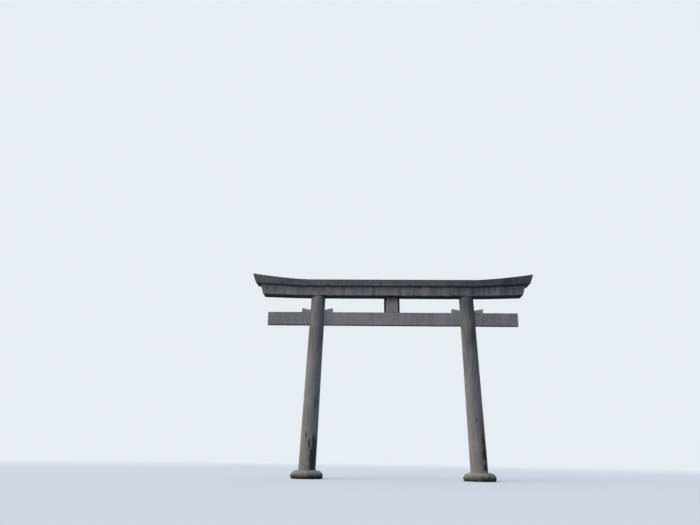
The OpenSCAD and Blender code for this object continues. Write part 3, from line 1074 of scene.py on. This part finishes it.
# %% Sweep rule in Geometry Nodes
def sweep_rule():
    names = ("Start", "Tip", "Power", "Underside", "Depth", "Rise below", "Rise above", "Lean")
    tree, given = new_rule("sweep_up", names)

    def work(operation, first, second=0.0):
        return add_node(tree, "ShaderNodeMath", (first, second), operation=operation)[0]

    position = add_node(tree, "GeometryNodeInputPosition")[0]
    split = add_node(tree, "ShaderNodeSeparateXYZ", (position,))
    x = split["X"]
    past = work("MAXIMUM", work("SUBTRACT", work("ABSOLUTE", x), given["Start"]))
    share = work("DIVIDE", past, work("SUBTRACT", given["Tip"], given["Start"]))
    curve = work("POWER", share, given["Power"])
    over = work("SUBTRACT", split["Z"], given["Underside"])
    low_rise = work("MULTIPLY", given["Rise below"], curve)
    growth = work("SUBTRACT", work("MULTIPLY", given["Rise above"], curve), low_rise)
    up = work("MINIMUM", work("DIVIDE", over, given["Depth"]), 1.0)
    lift = work("ADD", low_rise, work("MULTIPLY", growth, up))
    local_depth = work("ADD", given["Depth"], growth)
    local_z = work("SUBTRACT", work("ADD", over, lift), low_rise)
    lean = work("MULTIPLY", work("MULTIPLY", given["Lean"], share), work("DIVIDE", local_z, local_depth))
    pushed = {"X": work("MULTIPLY", work("SIGN", x), lean), "Z": lift}
    offset = add_node(tree, "ShaderNodeCombineXYZ", pushed)[0]
    inputs = {"Geometry": given["Geometry"], "Offset": offset}
    end_rule(tree, add_node(tree, "GeometryNodeSetPosition", inputs)[0], given["Finish"])
    return tree


SWEEP_UP = sweep_rule()
print("the sweep rule has", len(SWEEP_UP.nodes), "nodes")

# %% [markdown]
# The upper lintel has a low ridge along its top, so its section has five corners. The lower one is a
# plain rectangle, and its top takes the curve of the upper one's underside. Each is made in three
# lengths with a hairline joint over each pillar.

# %% Lintel sizes
LINTEL_EDGE = 0.024
LINTEL_SPACING = 0.05
RIDGE = 0.09
UPPER_HALF = 10.195
UPPER_LEAN = 0.245
UPPER_RISE_BELOW = 0.248
UPPER_RISE_ABOVE = 0.446
LOWER_HALF = 9.620
LOWER_LEAN = 0.255
LOWER_RISE_BELOW = 0.095
SWEEP_POWER = 1.5
SPARE = 0.010

pillar_lean = math.atan(LEAN_IN / head_z)
sweep_start = axis_x(head_z) + HEAD_D / 2 + HEAD_D * math.sin(pillar_lean) + SPARE
lower_tip_share = (LOWER_HALF + LOWER_LEAN - sweep_start) / (UPPER_HALF - sweep_start)
lower_rise_above = UPPER_RISE_BELOW * lower_tip_share**SWEEP_POWER
upper_low, upper_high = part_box("upper_lintel_middle")
print("the sweep starts", round(sweep_start, 3), "m from the middle")

# %% [markdown]
# Long runs of soot start at the top edge of each lintel and are placed one by one, as the marks on the
# pillars were. A darker band creeps up from every lower edge by itself, partly damp and partly painted shade
# under the edge.

# %% Marks on the lintels
FACE = lintel_low.y
UPPER_FACE = upper_low.y
RUN_DEPTH = 0.12
RUN_HEIGHT = 1.2
EDGE_DARKNESS = 0.6
EDGE_DARK_REACH = 0.05
EDGE_DARK_SCALE = 1.9
EDGE_DARK_FULL = 1.2
EDGE_DARK_LEAST = 0.01


def runs_on(face_y, z, marks):
    """Rain runs on a front: each mark is its place along the gate, its half width and its strength."""
    return on_front(face_y, RUN_DEPTH, [(x, z, half, RUN_HEIGHT, strength) for x, half, strength in marks])


def darker_lower_edge(piece):
    """A darker band along the lower edge, partly damp and partly painted shade, that reaches up by a
    different height at each place.
    """
    points = points_of(piece)
    level = points[:, 2].min()
    reach = [EDGE_DARK_REACH * (1 + 2 * noise.noise(Vector((x * EDGE_DARK_SCALE, y, 0)))) for x, y, _ in points]
    return EDGE_DARKNESS * np.clip(EDGE_DARK_FULL - (points[:, 2] - level) / np.maximum(reach, EDGE_DARK_LEAST), 0, 1)


UPPER_GRIME = runs_on(UPPER_FACE, 13.9, [
    (8.5, 0.65, 0.92), (9.8, 0.55, 0.58), (7.3, 0.80, 0.48), (5.9, 1.00, 0.40), (4.0, 0.60, 0.14),
    (-4.5, 0.55, 0.14), (-7.5, 0.16, 0.30), (-8.3, 0.07, 0.34), (0.25, 0.10, 0.20), (-2.2, 0.12, 0.16),
    (-6.6, 0.30, 0.12), (2.7, 0.10, 0.18),
])
LOWER_GRIME = runs_on(FACE, 13.4, [
    (-1.42, 0.13, 0.40), (-1.0, 0.14, 0.32), (0.03, 0.07, 0.30), (0.26, 0.08, 0.20), (0.63, 0.09, 0.42),
    (1.14, 0.06, 0.16), (1.65, 0.08, 0.36), (2.10, 0.10, 0.16), (3.20, 0.45, 0.34), (4.6, 0.7, 0.30),
    (6.1, 0.8, 0.72), (7.4, 0.35, 0.40), (8.2, 0.30, 0.52), (9.0, 0.7, 0.46), (-0.4, 0.30, 0.20),
    (0.5, 0.25, 0.12), (-4.54, 0.16, 0.30), (-6.5, 0.40, 0.22), (-7.24, 0.10, 0.24), (-2.31, 0.10, 0.26),
    (-5.0, 0.08, 0.16),
])
LOWER_PALE = runs_on(FACE, 13.2, [
    (2.50, 0.20, 0.30), (3.80, 0.13, 0.34), (7.6, 0.25, 0.26), (-0.53, 0.10, 0.14), (-7.9, 0.4, 0.16),
])
LOWER_RUST = on_front(FACE, 0.2, [(-9.1, 13.5, 0.28, 0.25, 0.12), (8.9, 13.6, 0.18, 0.2, 0.08)])
print("the lintels have", len(UPPER_GRIME) + len(LOWER_GRIME), "dark runs")

# %% [markdown]
# Each length is made straight, worn and painted first, and swept up last, so that the marks follow the
# curve. The outer lengths reach the tip of the rule, and the others end at their joints.

# %% Lintels
def lintel(name, end_radii, corners, marks, slot, rule):
    low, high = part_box(name)
    way = (low.x > 0) - (high.x < 0)
    start = -rule["Tip"] if way < 0 else low.x
    end = rule["Tip"] if way > 0 else high.x
    piece = bar(f"cast_{name}", corners, start, end, LINTEL_EDGE, LINTEL_SPACING, end_radii)
    wear(piece, seed=51, wave=0.004, chip=0.016)
    # The lower edge is darker: partly damp, partly painted shade.
    below = {"grime_and_shade": darker_lower_edge(piece)}
    for kind, spots in marks.items():
        paint(piece, kind, spots, below.get(kind, 0.0))
    values = {"Start": sweep_start, "Power": SWEEP_POWER, "Finish": finishes[slot], **rule}
    apply_rule(piece, SWEEP_UP, values)
    settle(piece, slot, name)


edge_z = upper_high.z - RIDGE
half_y = upper_high.y
upper = {
    "corners": [
        (-half_y, upper_low.z), (half_y, upper_low.z),
        (half_y, edge_z), (0, upper_high.z), (-half_y, edge_z),
    ],
    "marks": {"grime_and_shade": UPPER_GRIME, "pale": [], "rust": []},
    "slot": "lintel_concrete_dark",
    "rule": {
        "Tip": UPPER_HALF, "Underside": upper_low.z, "Depth": edge_z - upper_low.z,
        "Rise below": UPPER_RISE_BELOW, "Rise above": UPPER_RISE_ABOVE, "Lean": UPPER_LEAN,
    },
}
lower = {
    "corners": rectangle((lintel_low.y, lintel_low.z), (lintel_high.y, lintel_high.z)),
    "marks": {"grime_and_shade": LOWER_GRIME, "pale": LOWER_PALE, "rust": LOWER_RUST},
    "slot": "lintel_concrete",
    "rule": {
        "Tip": LOWER_HALF, "Underside": lintel_low.z, "Depth": lintel_high.z - lintel_low.z,
        "Rise below": LOWER_RISE_BELOW, "Rise above": lower_rise_above, "Lean": LOWER_LEAN,
    },
}
for place, radii in radii_by_length(LINTEL_EDGE).items():
    lintel(f"upper_lintel_{place}", radii, **upper)
    lintel(f"lower_lintel_{place}", radii, **lower)

# %% [markdown]
# ## The plaque
# The plaque leans out from the tie beam past the lower lintel. It is easiest to build upright, with X
# across it, Y out of its face and Z up, and to lean it afterwards with one matrix. The lean follows
# from the two beams that it clears.

# %% Plaque placement
FOOT_OUT = 0.060
HEAD_OUT = 0.083
FOOT_DROP = 0.060
PLAQUE_HEAD = 0.210
BAR_W = 0.150
BOARD_T = 0.060
BOARD_INSET = 0.020

plaque_low, plaque_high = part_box("plaque_frame_top")
plaque_w = plaque_high.x - plaque_low.x
plaque_foot = Vector((0, tie_high.y + FOOT_OUT, tie_high.z - FOOT_DROP))
plaque_lean = math.atan((lintel_high.y + HEAD_OUT - plaque_foot.y) / (head_z - plaque_foot.z))
plaque_len = (head_z + PLAQUE_HEAD - plaque_foot.z) / math.cos(plaque_lean)
LEAN_PLAQUE = Matrix.Translation(plaque_foot) @ Matrix.Rotation(-plaque_lean, 4, "X")
print("the plaque is", round(plaque_w, 3), "by", round(plaque_len, 3), "m and leans",
      round(math.degrees(plaque_lean), 1), "degrees")

# %% [markdown]
# The board is a row of upright planks with a fine gap between them, held by two battens behind.

# %% Plaque board
PLANKS = 5
PLANK_GAP = 0.003
PLANK_EDGE = 0.005
PLANK_SPACING = 0.10
BATTEN_H = 0.085
BATTEN_T = 0.016
BATTEN_EDGE = 0.003
BATTEN_SPACING = 0.12
BATTEN_SHORT = 0.01
BATTEN_SHARES = (0.22, 0.78)


def joined(name, pieces):
    """Several meshes as one piece."""
    whole = bmesh.new()
    for piece in pieces:
        whole.from_mesh(piece.data)
        bpy.data.objects.remove(piece)
    mesh = bpy.data.meshes.new(name)
    whole.to_mesh(mesh)
    whole.free()
    smooth(mesh)
    return linked(name, mesh)


def plaque_board():
    width = plaque_w - 2 * BAR_W
    step = width / PLANKS
    top = plaque_len - BAR_W
    pieces = []
    for i in range(PLANKS):
        low = (-width / 2 + step * i + PLANK_GAP / 2, BOARD_INSET, BAR_W)
        high = (-width / 2 + step * (i + 1) - PLANK_GAP / 2, BOARD_INSET + BOARD_T, top)
        pieces.append(upright_bar("plank", low, high, PLANK_EDGE, PLANK_SPACING))
    end = width / 2 - BATTEN_SHORT
    for share in BATTEN_SHARES:
        z = BAR_W + (top - BAR_W) * share
        corners = rectangle((BOARD_INSET - BATTEN_T, z - BATTEN_H / 2), (BOARD_INSET, z + BATTEN_H / 2))
        pieces.append(bar("batten", corners, -end, end, BATTEN_EDGE, BATTEN_SPACING))
    board = joined("plaque_planks", pieces)
    board.data.transform(LEAN_PLAQUE)
    wear(board, seed=61, wave=0.0015, chip=0.002)
    settle(board, "black_wood", "plaque_board")


plaque_board()

# %% [markdown]
# The frame's bars have a moulding on the front: a rounded rib outside, a hollow, and a thin bead next
# to the board. The bars meet in mitres, so each ring of points at a bar's end is cut at 45 degrees: a
# point that lies further in starts further along.

# %% Plaque frame
FRAME_STEPS = 12


def half_round(middle, base, across, out, steps):
    """Half a turn over the face: it stands proud of base by out, or lies below it where out is negative."""
    angles = [math.pi * k / steps for k in range(steps + 1)]
    return [(middle - across * math.cos(a), base + out * math.sin(a)) for a in angles]


def moulding():
    """The bar's section, from its outer edge inwards, as distance in and height over the back."""
    outside = [(0, 0), (0, 0.088), (0.006, 0.094), (0.018, 0.094), (0.022, 0.098)]
    rib = half_round(0.050, 0.104, 0.026, 0.026, 8)
    hollow = half_round(0.104, 0.106, 0.022, -0.011, 6)
    bead = half_round(0.138, 0.106, 0.009, 0.009, 4)
    return outside + rib + hollow + bead + [(BAR_W, 0.100), (BAR_W, 0)]


def frame_bar(name, corner, along, inwards, length):
    """A bar from a corner of the plaque, with its moulding mitred at both ends."""
    corner, along, inwards = Vector(corner), Vector(along), Vector(inwards)
    section = moulding()
    rings = []
    for k in range(FRAME_STEPS + 1):
        ring = []
        for into, out in section:
            reach = into + (length - 2 * into) * k / FRAME_STEPS
            ring.append(tuple(corner + along * reach + inwards * into + Vector((0, out, 0))))
        rings.append(np.array(ring))
    piece = loft(f"moulded_{name}", rings, [np.zeros(len(section))] * len(rings))
    piece.data.transform(LEAN_PLAQUE)
    settle(piece, "black_wood", name)


half_w = plaque_w / 2
frame_bar("plaque_frame_bottom", (-half_w, 0, 0), (1, 0, 0), (0, 0, 1), plaque_w)
frame_bar("plaque_frame_top", (-half_w, 0, plaque_len), (1, 0, 0), (0, 0, -1), plaque_w)
frame_bar("plaque_frame_left", (-half_w, 0, 0), (0, 0, 1), (1, 0, 0), plaque_len)
frame_bar("plaque_frame_right", (half_w, 0, 0), (0, 0, 1), (-1, 0, 0), plaque_len)

# %% [markdown]
# ## Ironwork
# The ledge and the brackets have the right shape already, so each is a copy of its node with the
# loose triangles merged and the edges bevelled.

# %% Ironwork
IRON_EDGE = 0.003
MERGE = 0.0002
FLAT_WITHIN = math.radians(1)
EDGE_FROM = math.radians(20)
BEVEL_STEPS = 2
BEVEL_PROFILE = 0.6


def softened(node, name):
    """A copy of a node with its triangles merged into faces and its edges bevelled."""
    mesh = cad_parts[node].data.copy()
    shell = bmesh.new()
    shell.from_mesh(mesh)
    bmesh.ops.remove_doubles(shell, verts=shell.verts, dist=MERGE)
    bmesh.ops.dissolve_limit(shell, angle_limit=FLAT_WITHIN, verts=shell.verts, edges=shell.edges)
    bmesh.ops.recalc_face_normals(shell, faces=shell.faces)
    edges = [e for e in shell.edges if e.is_manifold and e.calc_face_angle(0) > EDGE_FROM]
    rounding = {"offset": IRON_EDGE, "segments": BEVEL_STEPS, "profile": BEVEL_PROFILE}
    bmesh.ops.bevel(shell, geom=edges, affect="EDGES", **rounding)
    shell.to_mesh(mesh)
    shell.free()
    mesh.materials.clear()
    smooth(mesh)
    settle(linked(name, mesh), "old_iron", node)


for part in ("ledge", "bracket_left", "bracket_right"):
    softened(f"plaque_{part}", f"iron_{part}")

# %% [markdown]
# The bolts that hold the ironwork repeat, so Geometry Nodes put one at every point of a small mesh: a
# washer and a six-sided head. Each bolt is turned to face along +Y, and about its own axis by a random
# angle, because no two bolts stop at the same one.

# %% Bolts in Geometry Nodes
BOLT_R = 0.016
BOLT_H = 0.012
WASHER_R = 0.026
WASHER_H = 0.004
HEAD_SIDES = 6
WASHER_SIDES = 24
STRAIGHT_OUT = -math.pi / 2


def bolt_rule():
    names = ("Head radius", "Head height", "Washer radius", "Washer height", "Lean")
    tree, given = new_rule("bolts", names, seed=True)

    def drum(sides, radius, depth, base=0.0):
        """A cylinder that stands on base along its own Z."""
        inputs = {"Vertices": sides, "Radius": radius, "Depth": depth}
        shape = add_node(tree, "GeometryNodeMeshCylinder", inputs)
        middle = add_node(tree, "ShaderNodeMath", (depth, 0.5, base), operation="MULTIPLY_ADD")[0]
        lift = add_node(tree, "ShaderNodeCombineXYZ", {"Z": middle})[0]
        return add_node(tree, "GeometryNodeTransform", {"Geometry": shape["Mesh"], "Translation": lift})[0]

    washer = drum(WASHER_SIDES, given["Washer radius"], given["Washer height"])
    head = drum(HEAD_SIDES, given["Head radius"], given["Head height"], given["Washer height"])
    both = tree.nodes.new("GeometryNodeJoinGeometry")
    for part in (washer, head):
        tree.links.new(part, both.inputs[0])
    spin = add_node(tree, "FunctionNodeRandomValue", {"Max": math.pi, "Seed": given["Seed"]})["Value"]
    facing = add_node(tree, "ShaderNodeCombineXYZ", {"X": given["Lean"]})[0]
    own_turn = add_node(tree, "ShaderNodeCombineXYZ", {"Z": spin})[0]
    put = {"Points": given["Geometry"], "Instance": both.outputs[0], "Rotation": facing}
    placed = add_node(tree, "GeometryNodeInstanceOnPoints", put)[0]
    inputs = {"Instances": placed, "Rotation": own_turn}
    end_rule(tree, add_node(tree, "GeometryNodeRotateInstances", inputs)[0], given["Finish"])
    return tree


BOLTS = bolt_rule()
print("the bolt rule has", len(BOLTS.nodes), "nodes")

# %% [markdown]
# Each bracket has a bolt in every corner of its plate, and the ledge has a row of them. They sit on
# the face of the iron, so their places come from the boxes of those pieces.

# %% Bolts in their places
BRACKET_PLATE_T = 0.015
BRACKET_BOLT_IN = 0.030
BRACKET_BOLT_SIZE = 0.8
LEDGE_T = 0.020
LEDGE_BOLTS = 6
LEDGE_BOLT_DOWN = 0.150


def bolts(name, places, seed, size=1.0):
    """Bolts at these places, turned so that their heads face along +Y."""
    mesh = bpy.data.meshes.new(name)
    mesh.from_pydata([tuple(p) for p in places], [], [])
    piece = linked(name, mesh)
    apply_rule(piece, BOLTS, {
        "Head radius": BOLT_R * size, "Head height": BOLT_H * size, "Washer radius": WASHER_R * size,
        "Washer height": WASHER_H * size, "Lean": STRAIGHT_OUT, "Seed": seed, "Finish": finishes["old_iron"],
    })
    settle(piece, "old_iron")


bracket_places = []
for side in ("left", "right"):
    low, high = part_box(f"plaque_bracket_{side}")
    bracket_places += [
        (x, lintel_high.y + BRACKET_PLATE_T, z)
        for x in (low.x + BRACKET_BOLT_IN, high.x - BRACKET_BOLT_IN)
        for z in (low.z + BRACKET_BOLT_IN, high.z - BRACKET_BOLT_IN)
    ]
bolts("bracket_bolts", bracket_places, 3, BRACKET_BOLT_SIZE)

ledge_low, ledge_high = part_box("plaque_ledge")
ledge_step = (ledge_high.x - ledge_low.x) / LEDGE_BOLTS
ledge_places = [
    (ledge_low.x + ledge_step * (i + 0.5), tie_high.y + LEDGE_T, plaque_foot.z - LEDGE_BOLT_DOWN)
    for i in range(LEDGE_BOLTS)
]
bolts("ledge_bolts", ledge_places, 4)
